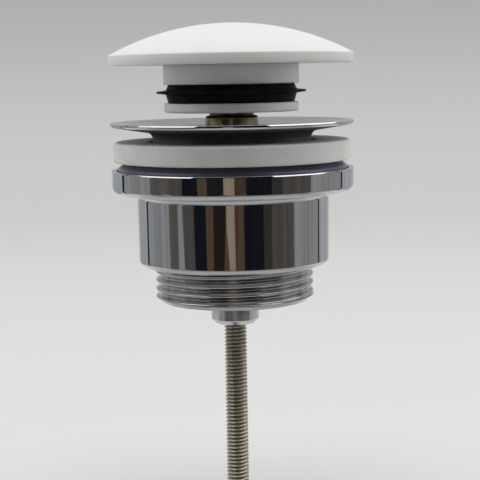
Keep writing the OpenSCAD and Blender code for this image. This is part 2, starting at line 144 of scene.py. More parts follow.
class WasteSizes(bpy.types.PropertyGroup):
    """Sizes of the modelled pieces that their solids' boxes don't give."""

    cap_rim: length("Cap rim", "Height of the cap's upright rim", 2.6)
    cap_edge: length("Cap edge", "Rounding of the cap's edges", 0.4)
    spigot_radius: length("Spigot radius", "Radius of the recess for the plug's spigot", 12.1)
    spigot_depth: length("Spigot depth", "Depth of that recess", 6.6)
    groove_radius: length("Seal seat", "Inner radius of the lip seal", 14.55)
    seal_face: length("Seal face", "Radius of the seal at its two faces", 16.55)
    seal_root: length("Fin root", "Radius of the seal where its fin starts", 17.2)
    seal_edge: length("Seal edge", "Rounding of the seal's face edges", 0.25)
    fin_height: length("Fin height", "Height of the fin above the seal's lower face", 2.75)
    fin_thickness: length("Fin thickness", "Thickness of the fin at its tip", 0.5)
    fin_wave: length("Fin wave", "How far the soft fin strays up and down", 0.15)
    throat_radius: length("Throat radius", "Outer radius of the flange's throat", 20.85)
    throat_bore: length("Throat bore", "Inner radius of the throat", 19.85)
    throat_fillet: length("Throat fillet", "Fillet between the dish and the throat", 2.0)
    dish_start: length("Dish start", "Height where the dish's underside meets the throat's line", 1.71)
    dish_thickness: length("Dish thickness", "Thickness of the dish", 1.0)
    rim_bevel: length("Rim bevel", "Height of the bevel over the flange's edge", 0.35)
    rim_slant: length("Rim slant", "How far the bevels of that edge lean in", 0.2)
    rim_under_bevel: length("Rim under bevel", "Height of the bevel under the flange's edge", 0.42)
    hub_radius: length("Hub radius", "Radius of the hub in the throat", 10.0)
    hub_drop: length("Hub drop", "Depth of the hub's top below the throat's top", 8.5)
    hub_height: length("Hub height", "Height of the hub", 5.0)
    hub_hole: length("Hub hole", "Radius of the hub's hole for the cartridge", 7.0)
    throat_arm_height: length("Throat arm height", "Height of the spider's arms in the throat", 4.0)
    ring_bore: length("Ring bore", "Inner radius of the washer and the gasket", 22.0)
    washer_round: length("Washer rounding", "Rounding of the foam washer's upper edge", 1.1)
    washer_swell: length("Washer swell", "Unevenness of the foam washer", 0.10)
    gasket_play: length("Gasket play", "Gap between the gasket and the lip", 0.3)
    gasket_edge: length("Gasket edge", "Height of the gasket's upright edge", 2.7)
    gasket_taper: length("Gasket taper", "Width of the gasket's taper", 2.2)
    gasket_round: length("Gasket shoulder", "Rounding of the gasket's shoulder", 1.2)
    gasket_rim: length("Gasket rim", "Rounding of the gasket's top edge", 0.6)
    body_lip: length("Lip", "Width of the lip round the gasket", 1.3)
    lip_face: length("Lip face", "Height of the slanted face at the lip's top", 0.3)
    lip_slant: length("Lip slant", "How far that face leans in", 0.15)
    body_seat: length("Seat depth", "Depth of the gasket's seat", 2.2)
    body_rim: length("Rim height", "Height of the lower body's rim", 6.1)
    rim_round: length("Rim rounding", "Rounding under the rim", 1.8)
    cup_radius: length("Cup radius", "Outer radius of the cup under the rim", 25.4)
    cup_fillet: length("Cup fillet", "Fillet between the rim and the cup", 1.6)
    cup_foot: length("Cup foot radius", "Outer radius of the cup at its foot", 25.25)
    cup_height: length("Cup height", "Height of the cup below the rim", 19.15)
    cup_round: length("Cup rounding", "Rounding at the foot of the cup", 1.6)
    cup_wall: length("Cup wall", "Wall of the cup", 2.0)
    cup_floor: length("Cup floor", "Thickness of the cup's floor", 2.4)
    cup_bottom: length("Cup bottom", "Rounding at the bottom of the cup's bore", 2.0)
    tail_radius: length("Tail radius", "Crest radius of the tail's pipe thread", 20.955)
    tail_length: length("Tail length", "Length of the tail", 9.65)
    tail_bore: length("Tail bore", "Bore radius of the tail", 18.4)
    tail_lip: length("Tail lip", "Height of the plain lip under the thread", 0.8)
    tail_lead: length("Tail lead", "Height of the slope from that lip to the thread", 0.5)
    tail_pitch: length("Tail pitch", "Pitch of the pipe thread", 2.309)
    tail_depth: length("Tail thread depth", "Depth of the pipe thread", 1.15)
    tail_start: length("Tail thread start", "Height of a crest on the +X side", -35.9)
    boss_radius: length("Boss radius", "Radius of the central boss", 6.4)
    boss_chamfer: length("Boss chamfer", "Chamfer at the boss's end", 1.15)
    rod_pitch: length("Rod pitch", "Pitch of the rod's thread", 1.0)
    rod_depth: length("Rod thread depth", "Depth of the rod's thread", 0.55)
    rod_play: length("Rod play", "Clearance between the rod and the boss", 0.05)
    arm_width: length("Arm width", "Width of the spider's arms", 3.0)
    arm_height: length("Arm height", "Height of the spider's arms in the tail", 5.0)
    arm_drop: length("Arm drop", "Depth of those arms below the tail's top", 1.1)
    wire: length("Spring wire", "Diameter of the spring's wire", 0.9)
    spring_turns: IntProperty(
        name="Spring turns", description="Turns of the return spring", default=7, min=3
    )


class WasteColours(bpy.types.PropertyGroup):
    """Colours of the finishes."""

    glaze: colour("Glaze", "White glaze of the cap", (0.90, 0.90, 0.88))
    moulding: colour("Moulding", "White plastic of the plug", (0.88, 0.88, 0.87))
    seal: colour("Seal", "Black rubber of the seal and O-rings", (0.014, 0.0135, 0.018))
    gasket: colour("Gasket", "Blue-black rubber of the gasket", (0.105, 0.118, 0.162))
    foam: colour("Foam", "Pale foam of the basin washer", (0.84, 0.84, 0.82))
    chrome: colour("Chrome", "Chrome plate", (0.57, 0.575, 0.585))
    # Dark colour of the faces under the flange: painted shade, on a duller plate
    painted_shade_plate: colour("Painted shade plate", "Dark, dull skin under the flange", (0.12, 0.124, 0.132))
    brass: colour("Brass", "Worn brass", (0.46, 0.40, 0.23))
    tarnish: colour("Tarnish", "Dark film on the brass", (0.15, 0.125, 0.08))
    steel: colour("Steel", "Plain steel inside the cartridge", (0.52, 0.52, 0.53))
    rod: colour("Rod", "Dull plating on the rod's crests", (0.62, 0.57, 0.48))
    # Darker colour towards the roots of the rod's thread
    root_colour: colour("Root colour", "Dark film in the roots of the rod's thread", (0.17, 0.15, 0.115))
    # Painted shade in the backdrop: the wall is greyer than the floor, and the -Y side is dark
    floor: colour("Floor", "Pale floor", (0.755, 0.75, 0.735))
    wall: colour("Wall", "Pale backdrop behind the floor", (0.545, 0.545, 0.535))
    painted_shade_side: colour("Dark side", "Floor and backdrop on the -Y side", (0.15, 0.147, 0.143))
    sky: colour("Sky", "Light from all round", (0.9, 0.92, 0.95))


class WasteStage(bpy.types.PropertyGroup):
    """The camera's place and the studio round the object."""

    lens: amount("Lens", "Focal length in millimetres", 97.0)
    distance: length("Camera distance", "Level distance from the camera to the axis", 341.3)
    eye_height: length("Eye height", "Height of the camera above the throat's top", 16.5)
    pitch: angle("Pitch", "How far the camera looks down", 7.28)
    turn: angle("Turn", "How far the camera looks to the right", 0.27)
    roll: angle("Roll", "How far the camera leans", 1.0)
    floor_radius: length("Floor radius", "Where the floor starts to curve up", 800.0)
    sweep_radius: length("Sweep radius", "Radius of the curve up to the backdrop", 400.0)
    wall_height: length("Wall height", "Height of the backdrop above the curve", 500.0)
    # Round the foot the floor keeps part of its pale colour, under less of the painted shade
    foot_inner: length("Foot start", "Where the floor round the foot starts to darken", 60.0)
    foot_outer: length("Foot end", "Where it stops", 320.0)
    ring_radius: length("Ring distance", "Distance of the mirrored panels from the axis", 260.0)
    ring_height: length("Ring height", "Height of the mirrored panels", 230.0)
    window_height: length("Window height", "Height of the bright panels above them", 330.0)
    window_glow: amount("Window glow", "Strength of the left bright panel", 1.6)
    floor_glow: amount("Floor glow", "Strength of the floor in the gloss", 0.55)
    floor_card_inner: length("Floor card start", "Where the floor starts to show in the gloss", 30.0)
    floor_card_outer: length("Floor card end", "Where it stops", 120.0)
    right_gain: amount("Right gain", "Strength of the right side over the left", 1.12)
    key_power: power("Key power", "Power of the softbox overhead", 16.1)
    key_size: length("Key size", "Side of the softbox", 1400.0)
    key_height: length("Key height", "Height of the softbox", 1400.0)
    key_back: length("Key back", "How far behind the axis the softbox hangs", 20.0)
    side_power: power("Side power", "Power of the left fill lamp", 1.25)
    side_size: length("Side size", "Side of each fill lamp", 420.0)
    side_reach: length("Side reach", "Level distance of the fill lamps from the axis", 750.0)
    side_height: length("Side height", "Height of the fill lamps", 260.0)
    sky_strength: amount("Sky strength", "Strength of the light from all round", 0.32)


def reset_selection():
    """Leaves edit mode and deselects every object."""
    if bpy.context.mode != "OBJECT":
        bpy.ops.object.mode_set(mode="OBJECT")
    bpy.ops.object.select_all(action="DESELECT")


def make_active(piece):
    reset_selection()
    piece.select_set(True)
    bpy.context.view_layer.objects.active = piece


def corner_arc(before, at, after, radius):
    """Points of the arc that rounds the corner at the middle point."""
    back = (before - at).normalized()
    on = (after - at).normalized()
    half = back.angle(on) / 2
    centre = at + (back + on).normalized() * (radius / math.sin(half))
    start = at + back * (radius / math.tan(half)) - centre
    sweep = start.angle_signed(at + on * (radius / math.tan(half)) - centre)
    turns = [Matrix.Rotation(-sweep * step / CORNER_STEPS, 2) for step in range(CORNER_STEPS + 1)]
    return [centre + turn @ start for turn in turns]


def drawn_outline(outline):
    """Turns (radius, height, rounding, cuts) corners into points, with arcs and evenly cut stretches."""
    corners = [tuple(corner) + (0, 0)[len(corner) - 2:] for corner in outline]
    flat = [Vector(corner[:2]) for corner in corners]
    points = []
    for index, (_, _, rounding, cuts) in enumerate(corners):
        after = flat[(index + 1) % len(flat)]
        if rounding:
            points += corner_arc(flat[index - 1], flat[index], after, rounding)
        else:
            points.append(flat[index])
        points += [points[-1].lerp(after, cut / (cuts + 1)) for cut in range(1, cuts + 1)]
    return points


def turned(name, outline, steps=TURN_STEPS, closed=True):
    """Draws an outline by extruding one vertex in the XZ plane, then spins it round the Z axis."""
    points = drawn_outline(outline)
    if closed:
        points.append(points[0])
    reset_selection()
    bpy.ops.mesh.primitive_plane_add(size=MM)
    piece = bpy.context.object
    piece.name = piece.data.name = name
    bpy.ops.object.mode_set(mode="EDIT")
    bpy.ops.mesh.merge(type="CENTER")
    bpy.ops.transform.translate(value=(points[0].x, 0, points[0].y))
    for here, there in zip(points, points[1:]):
        move = (there.x - here.x, 0, there.y - here.y)
        bpy.ops.mesh.extrude_region_move(TRANSFORM_OT_translate={"value": move})
    bpy.ops.mesh.select_all(action="SELECT")
    bpy.ops.mesh.spin(steps=steps, angle=math.tau, center=(0, 0, 0), axis=(0, 0, 1))
    bpy.ops.mesh.select_all(action="SELECT")
    bpy.ops.mesh.remove_doubles(threshold=MERGE_DISTANCE)
    bpy.ops.mesh.normals_make_consistent(inside=False)
    bpy.ops.object.mode_set(mode="OBJECT")
    return piece


def round_tooth(phase):
    """Depth of a pipe thread, 0 on its round crest and 1 in its round root."""
    return (1 - math.cos(math.tau * phase)) / 2


def vee_tooth(phase):
    """Depth of a V thread, 0 on the flat crest and 1 in the root."""
    crest = 0.14
    root = 0.12
    off_root = abs(phase - 0.5) * 2
    return min(1.0, max(0.0, (1 - off_root - crest) / (1 - crest - root)))


def cut_thread(piece, tooth, radius, depth, pitch, start, low, high, fade):
    """Sinks a right-hand thread into the finely cut wall of one radius, with a crest at the start on +X."""
    for vertex in piece.data.vertices:
        across = math.hypot(vertex.co.x, vertex.co.y)
        if abs(across - radius) > MERGE_DISTANCE * 10 or not low <= vertex.co.z <= high:
            continue
        phase = ((vertex.co.z - start) / pitch - math.atan2(vertex.co.y, vertex.co.x) / math.tau) % 1
        ease = max(0.0, min(1.0, (vertex.co.z - low) / fade, (high - vertex.co.z) / fade))
        shrink = 1 - depth * tooth(phase) * ease / radius
        vertex.co.x *= shrink
        vertex.co.y *= shrink


def uneven(piece, strength, grain, direction, group=""):
    """Moves a soft surface in and out by a cloud pattern and applies it."""
    clouds = bpy.data.textures.new(piece.name + " unevenness", "CLOUDS")
    clouds.noise_scale = grain
    make_active(piece)
    push = piece.modifiers.new("Unevenness", "DISPLACE")
    push.texture = clouds
    push.texture_coords = "LOCAL"
    push.direction = direction
    push.strength = strength
    push.mid_level = 0.5
    push.vertex_group = group
    bpy.ops.object.modifier_apply(modifier=push.name)


def add_arms(piece, inner, outer, base, height, width):
    """Joins three bevelled spider arms to a turned piece."""
    arms = []
    for index in range(3):
        bearing = math.radians(90 + 120 * index)
        middle = Vector(((inner + outer) / 2, 0, base + height / 2))
        reset_selection()
        bpy.ops.mesh.primitive_cube_add(
            size=1,
            location=Matrix.Rotation(bearing, 3, "Z") @ middle,
            rotation=(0, 0, bearing),
            scale=(outer - inner, width, height),
        )
        bpy.ops.object.transform_apply(location=True, rotation=True, scale=True)
        bpy.ops.object.mode_set(mode="EDIT")
        bpy.ops.mesh.bevel(offset=width * 0.2, segments=4, affect="EDGES")
        bpy.ops.object.mode_set(mode="OBJECT")
        arms.append(bpy.context.object)
    join_to(piece, arms)


def join_to(piece, others):
    reset_selection()
    for other in others:
        other.select_set(True)
    piece.select_set(True)
    bpy.context.view_layer.objects.active = piece
    bpy.ops.object.join()


def finish_piece(piece, material, body, slot, *nodes):
    """Smooths a new piece, gives it its material and hangs it on its body."""
    make_active(piece)
    bpy.ops.object.shade_smooth_by_angle(angle=SMOOTH_ANGLE)
    even = piece.modifiers.new("Even normals", "WEIGHTED_NORMAL")
    even.keep_sharp = True
    bpy.ops.object.modifier_apply(modifier=even.name)
    piece.data.materials.clear()
    piece.data.materials.append(material)
    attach(piece, body)
    if nodes:
        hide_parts(*nodes)


def paint_nodes(material, *nodes):
    """Gives solids that stay as they are a better material."""
    for name in nodes:
        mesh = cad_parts[name].data
        mesh.materials.clear()
        mesh.materials.append(material)


class Shader:
    """A small bench for wiring nodes in a material or a node group."""

    def __init__(self, tree):
        self.tree = tree

    def node(self, kind, **settings):
        made = self.tree.nodes.new(kind)
        for key, value in settings.items():
            setattr(made, key, value)
        return made

    def put(self, value, target):
        """Sets a socket, or links it where the value is a socket too."""
        if isinstance(value, bpy.types.NodeSocket):
            self.tree.links.new(value, target)
        else:
            target.default_value = value

    def feed(self, node, **values):
        """Puts values into sockets by name, with underscores for spaces."""
        for key, value in values.items():
            self.put(value, node.inputs[key.replace("_", " ")])
        return node

    def place(self):
        """Object coordinates."""
        return self.node("ShaderNodeTexCoord").outputs["Object"]

    def level_place(self):
        """Object coordinates without their height."""
        return self.vectors("MULTIPLY", self.place(), (1, 1, 0))

    def split(self, vector):
        """X, Y and Z of a vector."""
        return self.feed(self.node("ShaderNodeSeparateXYZ"), Vector=vector).outputs

    def noise(self, place, scale, detail, **values):
        made = self.node("ShaderNodeTexNoise")
        return self.feed(made, Vector=place, Scale=scale, Detail=detail, **values).outputs["Fac"]

    def ranged(self, value, smooth=False, **ends):
        """A value moved from one range to another."""
        made = self.node("ShaderNodeMapRange", interpolation_type="SMOOTHSTEP" if smooth else "LINEAR")
        return self.feed(made, Value=value, **ends).outputs["Result"]

    def maths(self, operation, *values, kind="ShaderNodeMath", result="Value"):
        """Result of a maths node that takes its values in order."""
        made = self.node(kind, operation=operation)
        for value, target in zip(values, made.inputs):
            self.put(value, target)
        return made.outputs[result]

    def vectors(self, operation, *values, result="Vector"):
        """Result of a vector maths node that takes its values in order."""
        return self.maths(operation, *values, kind="ShaderNodeVectorMath", result=result)


def shared_group(name, defaults, output, wire):
    """A node group with one output, built once. Its wire function makes the nodes between."""
    if name in bpy.data.node_groups:
        return bpy.data.node_groups[name]
    tree = bpy.data.node_groups.new(name, "ShaderNodeTree")
    for label, value in defaults.items():
        socket = tree.interface.new_socket(label, in_out="INPUT", socket_type="NodeSocketFloat")
        socket.default_value = value
    tree.interface.new_socket(output, in_out="OUTPUT", socket_type="NodeSocketFloat")
    bench = Shader(tree)
    given = bench.node("NodeGroupInput").outputs
    end = bench.node("NodeGroupOutput")
    bench.put(wire(bench, bench.place(), given), end.inputs[output])
    return tree


def mottle_group():
    """Soft blotches from 0 to 1 over the surface."""
    def wire(bench, place, given):
        clouds = bench.noise(place, given["Scale"], given["Detail"])
        return bench.ranged(clouds, From_Min=given["Low"], From_Max=given["High"])

    defaults = {"Scale": 80.0, "Detail": 5.0, "Low": 0.35, "High": 0.65}
    return shared_group("Surface mottle", defaults, "Mask", wire)


def grain_group():
    """Fine height for a bump: a tight noise with a looser one over it."""
    def wire(bench, place, given):
        tight = bench.noise(place, given["Scale"], 3.0)
        broad = bench.noise(place, bench.maths("MULTIPLY", given["Scale"], 0.12), 2.0)
        return bench.maths("MULTIPLY_ADD", broad, given["Loose"], tight)

    return shared_group("Fine grain", {"Scale": 2500.0, "Loose": 0.4}, "Height", wire)


def smudge_group():
    """Roughness that drifts between two values, as on handled gloss and metal."""
    def wire(bench, place, given):
        patches = bench.noise(place, given["Scale"], 6.0, Roughness=0.65)
        ends = {"To_Min": given["Clean"], "To_Max": given["Dull"]}
        return bench.ranged(patches, From_Min=0.3, From_Max=0.75, **ends)

    defaults = {"Scale": 60.0, "Clean": 0.1, "Dull": 0.2}
    return shared_group("Handling smudges", defaults, "Roughness", wire)


def turning_group():
    """Fine rings that a lathe tool leaves round the Z axis."""
    def wire(bench, place, given):
        bands = bench.node("ShaderNodeTexWave", wave_type="BANDS", bands_direction="Z")
        bench.feed(bands, Vector=place, Scale=given["Scale"], Distortion=given["Stray"], Detail=3.0)
        return bands.outputs["Fac"]

    return shared_group("Turning marks", {"Scale": 900.0, "Stray": 0.5}, "Height", wire)


def new_material(name):
    """A new material with its bench and its Principled shader."""
    material = bpy.data.materials.new(name)
    material.use_nodes = True
    return material, Shader(material.node_tree), material.node_tree.nodes["Principled BSDF"]


def use_group(bench, tree, **values):
    """Output of a group that is placed with its own values."""
    return bench.feed(bench.node("ShaderNodeGroup", node_tree=tree), **values).outputs[0]


def blend_colours(bench, factor, low, high):
    """A colour that goes from one to the other by a mask."""
    mix = bench.feed(bench.node("ShaderNodeMix", data_type="RGBA"), Factor=factor)
    ends = [socket for socket in mix.inputs if socket.type == "RGBA"]
    for tint, target in zip((low, high), ends):
        bench.put(tint if isinstance(tint, bpy.types.NodeSocket) else (*tint, 1), target)
    return [socket for socket in mix.outputs if socket.type == "RGBA"][0]


def shade(rgb, factor):
    return tuple(min(1.0, channel * factor) for channel in rgb)


def bump(bench, shader, height, strength, distance):
    made = bench.node("ShaderNodeBump")
    bench.feed(made, Height=height, Strength=strength, Distance=distance)
    bench.feed(shader, Normal=made.outputs["Normal"])


def smudge(bench, shader, scale, clean, dull):
    """Lets a shader's roughness drift between two values."""
    drift = use_group(bench, smudge_group(), Scale=scale, Clean=clean, Dull=dull)
    bench.feed(shader, Roughness=drift)


def plain_finish(name, rgb, drift, clean, dull, blotch, grain, relief, **sockets):
    """A finish with drifting colour and roughness and a fine relief."""
    material, bench, shader = new_material(name)
    mask = use_group(bench, mottle_group(), Scale=blotch)
    tint = blend_colours(bench, mask, shade(rgb, 1 - drift), shade(rgb, 1 + drift))
    bench.feed(shader, Base_Color=tint, **sockets)
    smudge(bench, shader, blotch * 0.7, clean, dull)
    bump(bench, shader, use_group(bench, grain_group(), Scale=grain), 0.35, relief)
    return material


def glaze_finish(colours):
    return plain_finish(
        "White glaze", colours.glaze, drift=0.012, clean=0.34, dull=0.46, blotch=45, grain=900,
        relief=0.008 * MM, Specular_IOR_Level=0.03,
        Subsurface_Weight=0.5, Subsurface_Radius=(1.0, 1.0, 0.9), Subsurface_Scale=5 * MM,
    )


def moulding_finish(colours):
    return plain_finish(
        "White moulding", colours.moulding, drift=0.025, clean=0.42, dull=0.55, blotch=90, grain=2200,
        relief=0.012 * MM,
        Subsurface_Weight=0.5, Subsurface_Radius=(1.0, 1.0, 0.9), Subsurface_Scale=4 * MM,
    )


def seal_finish(colours):
    return plain_finish(
        "Black seal rubber", colours.seal, drift=0.30, clean=0.34, dull=0.48, blotch=160, grain=2600,
        relief=0.004 * MM, Specular_IOR_Level=0.02,
    )


def gasket_finish(colours):
    return plain_finish(
        "Blue-black gasket rubber", colours.gasket, drift=0.10, clean=0.18, dull=0.30, blotch=120,
        grain=2000, relief=0.002 * MM,
    )


def chrome_finish(colours):
    return plain_finish(
        "Chrome plate", colours.chrome, drift=0.02, clean=0.025, dull=0.075, blotch=70, grain=160,
        relief=0.008 * MM, Metallic=1.0,
    )


def painted_shade_plate_finish(colours):
    # A dull plate whose dark colour is painted shade under the flange
    return plain_finish(
        "Dull plate with painted shade", colours.painted_shade_plate, drift=0.12, clean=0.45, dull=0.60, blotch=90, grain=1200,
        relief=0.006 * MM,
    )


def foam_finish(colours):
    """Matte foam: closed cells as pits under a slightly blotchy colour."""
    material, bench, shader = new_material("Pale foam")
    mask = use_group(bench, mottle_group(), Scale=140, Low=0.3, High=0.7)
    tint = blend_colours(bench, mask, shade(colours.foam, 0.93), shade(colours.foam, 1.03))
    bench.feed(shader, Base_Color=tint)
    cells = bench.feed(bench.node("ShaderNodeTexVoronoi"), Vector=bench.place(), Scale=1800.0)
    bump(bench, shader, cells.outputs["Distance"], 0.5, 0.07 * MM)
    smudge(bench, shader, scale=90, clean=0.80, dull=0.95)
    return material


def turned_metal(name, bright, film, low, high, blotch, clean, dull):
    """Bare turned metal under a patchy dark film, with tool marks."""
    material, bench, shader = new_material(name)
    mask = use_group(bench, mottle_group(), Scale=blotch, Detail=8.0, Low=low, High=high)
    bench.feed(shader, Base_Color=blend_colours(bench, mask, film, bright), Metallic=1.0)
    smudge(bench, shader, blotch, clean, dull)
    rings = use_group(bench, turning_group(), Scale=1100.0, Stray=1.5)
    bump(bench, shader, rings, 0.3, 0.01 * MM)
    return material


def brass_finish(colours):
    return turned_metal(
        "Aged brass", colours.brass, colours.tarnish,
        low=0.05, high=0.90, blotch=420, clean=0.14, dull=0.26,
    )


def dark_brass_finish(colours):
    # A darker brass for the plunger
    bright = shade(colours.tarnish, 0.8)
    film = shade(colours.tarnish, 0.35)
    return turned_metal(
        "Dark plunger brass", bright, film, low=0.25, high=0.75, blotch=500, clean=0.22, dull=0.36,
    )


def worn_plate_finish(colours):
    film = shade(colours.chrome, 0.78)
    return turned_metal(
        "Worn chrome plate", colours.chrome, film, low=0.30, high=0.70, blotch=240, clean=0.10, dull=0.24,
    )


def boss_finish(colours):
    bright = shade(colours.chrome, 1.40)
    film = shade(bright, 0.85)
    return turned_metal(
        "Turned boss plate", bright, film, low=0.30, high=0.70, blotch=320, clean=0.12, dull=0.26,
    )


def steel_finish(colours):
    film = shade(colours.steel, 0.6)
    return turned_metal(
        "Plain steel", colours.steel, film, low=0.30, high=0.60, blotch=300, clean=0.22, dull=0.40,
    )


def rod_finish(colours, radius, depth):
    """Dull plating that darkens from the crests into the roots of the thread."""
    material, bench, shader = new_material("Dull rod plating")
    across = bench.vectors("LENGTH", bench.level_place(), result="Value")
    height = bench.ranged(across, From_Min=radius - depth, From_Max=radius)
    mask = use_group(bench, mottle_group(), Scale=500, Low=0.2, High=0.75)
    crest_and_mottle = bench.maths("MULTIPLY_ADD", mask, 0.35, height)
    bench.feed(shader, Base_Color=blend_colours(bench, crest_and_mottle, colours.root_colour, colours.rod), Metallic=1.0)
    smudge(bench, shader, scale=400, clean=0.34, dull=0.52)
    bump(bench, shader, use_group(bench, grain_group(), Scale=3000), 0.3, 0.01 * MM)
    return material


class BASINWASTE_OT_cap(bpy.types.Operator):
    """Model the glazed cap: a shallow dome over an upright rim, hollowed for the plug's spigot"""

    bl_idname = "basinwaste.cap"
    bl_label = "Cap"

    def execute(self, context):
        sizes = context.scene.waste_sizes
        base, top, radius = node_span("cap")
        rim_top = base + sizes.cap_rim
        rise = top - rim_top
        dome = (radius * radius + rise * rise) / (2 * rise)
        reach = math.asin(radius / dome)
        arc_steps = 36
        angles = [reach * (1 - step / arc_steps) for step in range(1, arc_steps + 1)]
        crown = [(dome * math.sin(tilt), rim_top + rise - dome * (1 - math.cos(tilt))) for tilt in angles]
        piece = turned("cap_dome", [
            (0, base + sizes.spigot_depth),
            (sizes.spigot_radius, base + sizes.spigot_depth, SMALL_EDGE),
            (sizes.spigot_radius, base, SMALL_EDGE),
            (radius, base, sizes.cap_edge),
            (radius, rim_top, sizes.cap_edge),
            *crown,
        ], closed=False)
        finish_piece(piece, glaze_finish(context.scene.waste_colours), "plug", "white_cap", "cap")
        return {"FINISHED"}


class BASINWASTE_OT_plug(bpy.types.Operator):
    """Finish the plug's spool and model its soft seal with a slightly wavy fin"""

    bl_idname = "basinwaste.plug"
    bl_label = "Plug and seal"

    def execute(self, context):
        sizes = context.scene.waste_sizes
        colours = context.scene.waste_colours
        paint_nodes(moulding_finish(colours), "plug_body")
        base, top, tip = node_span("lip_seal")
        middle = base + sizes.fin_height
        half = sizes.fin_thickness / 2
        root = half * 2.2
        tip_round = half * 0.9
        piece = turned("lip_seal_ring", [
            (sizes.groove_radius, base),
            (sizes.seal_face, base, sizes.seal_edge),
            (sizes.seal_root, middle - root, SMALL_EDGE),
            (tip, middle - half, tip_round),
            (tip, middle + half, tip_round),
            (sizes.seal_root, middle + root, SMALL_EDGE),
            (sizes.seal_face, top, sizes.seal_edge),
            (sizes.groove_radius, top),
        ])
        fin = piece.vertex_groups.new(name="fin")
        for vertex in piece.data.vertices:
            out = (math.hypot(vertex.co.x, vertex.co.y) - sizes.seal_root) / (tip - sizes.seal_root)
            fin.add([vertex.index], max(0.0, min(1.0, out)), "REPLACE")
        uneven(piece, sizes.fin_wave, grain=26 * MM, direction="Z", group=fin.name)
        finish_piece(piece, seal_finish(colours), "plug", "black_rubber", "lip_seal")
        return {"FINISHED"}


class BASINWASTE_OT_flange(bpy.types.Operator):
    """Model the chromed flange: dish with a bevelled edge, throat, hub and spider"""

    bl_idname = "basinwaste.flange"
    bl_label = "Flange"

    def execute(self, context):
        sizes = context.scene.waste_sizes
        colours = context.scene.waste_colours
        base, rim_over, radius = node_span("flange")
        rim_under = rim_over - sizes.dish_thickness
        slope = (rim_under - sizes.dish_start) / (radius - sizes.throat_radius)
        mouth = rim_over - (radius - sizes.throat_bore) * slope
        flange = turned("flange_dish", [
            (sizes.throat_bore, base, SMALL_EDGE),
            (sizes.throat_radius, base, SMALL_EDGE),
            (sizes.throat_radius, sizes.dish_start, sizes.throat_fillet),
            (radius - sizes.rim_slant, rim_under, CRISP_EDGE),
            (radius, rim_under + sizes.rim_under_bevel, CRISP_EDGE),
            (radius, rim_over - sizes.rim_bevel, CRISP_EDGE),
            (radius - sizes.rim_slant, rim_over, CRISP_EDGE),
            (sizes.throat_bore, mouth, sizes.throat_fillet + sizes.dish_thickness),
        ])
        hub_top = -sizes.hub_drop
        hub_base = hub_top - sizes.hub_height
        hub = turned("hub", [
            (sizes.hub_hole, hub_base, FINE_EDGE),
            (sizes.hub_radius, hub_base, BLUNT_EDGE),
            (sizes.hub_radius, hub_top, BLUNT_EDGE),
            (sizes.hub_hole, hub_top, FINE_EDGE),
        ], steps=HUB_STEPS)
        join_to(flange, [hub])
        arm_base = hub_base + (sizes.hub_height - sizes.throat_arm_height) / 2
        add_arms(
            flange, sizes.hub_radius - ARM_BITE, sizes.throat_bore + THROAT_BITE,
            arm_base, sizes.throat_arm_height, sizes.arm_width,
        )
        finish_piece(flange, chrome_finish(colours), "flange_assembly", "chrome", "flange")
        # Faces under the flange and on the throat's outer wall take the dark plate: painted shade
        flange.data.materials.append(painted_shade_plate_finish(colours))
        painted_shade_start = sizes.throat_radius - 0.1 * MM
        painted_shade_end = radius - 0.6 * MM
        for face in flange.data.polygons:
            across = math.hypot(face.center.x, face.center.y)
            if painted_shade_start < across < painted_shade_end and face.normal.z < 0.1:
                face.material_index = 1
        return {"FINISHED"}


class BASINWASTE_OT_cartridge(bpy.types.Operator):
    """Finish the push cartridge and wind its return spring"""

    bl_idname = "basinwaste.cartridge"
    bl_label = "Cartridge"

    def execute(self, context):
        sizes = context.scene.waste_sizes
        colours = context.scene.waste_colours
        brass = brass_finish(colours)
        steel = steel_finish(colours)
        paint_nodes(brass, "cartridge_housing", "plug_insert", "housing_end_plug", "hub_lock_nut")
        paint_nodes(dark_brass_finish(colours), "plunger")
        paint_nodes(steel, "cam_post", "follower_ring", "follower_pin", "plunger_clip")
        paint_nodes(seal_finish(colours), "plunger_o_ring", "housing_o_ring")
        low, high, radius = node_span("return_spring")
        half = sizes.wire / 2
        reset_selection()
        bpy.ops.mesh.primitive_circle_add(
            vertices=12, radius=half, rotation=(math.pi / 2, 0, 0),
            location=(radius - half, 0, low + half),
        )
        piece = bpy.context.object
        piece.name = piece.data.name = "return_spring_coil"
        bpy.ops.object.transform_apply(location=True, rotation=True)
        wind = piece.modifiers.new("Coil", "SCREW")
        wind.axis = "Z"
        wind.iterations = sizes.spring_turns
        wind.screw_offset = (high - low - sizes.wire) / sizes.spring_turns
        wind.steps = wind.render_steps = 28
        bpy.ops.object.modifier_apply(modifier=wind.name)
        bpy.ops.object.mode_set(mode="EDIT")
        bpy.ops.mesh.select_all(action="DESELECT")
        bpy.ops.mesh.select_mode(type="EDGE")
        bpy.ops.mesh.select_non_manifold()
        bpy.ops.mesh.fill_holes(sides=0)
        bpy.ops.mesh.select_all(action="SELECT")
        bpy.ops.mesh.normals_make_consistent(inside=False)
        bpy.ops.mesh.select_mode(type="VERT")
        bpy.ops.object.mode_set(mode="OBJECT")
        finish_piece(piece, steel, "flange_assembly", "steel", "return_spring")
        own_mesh(piece)
        return {"FINISHED"}


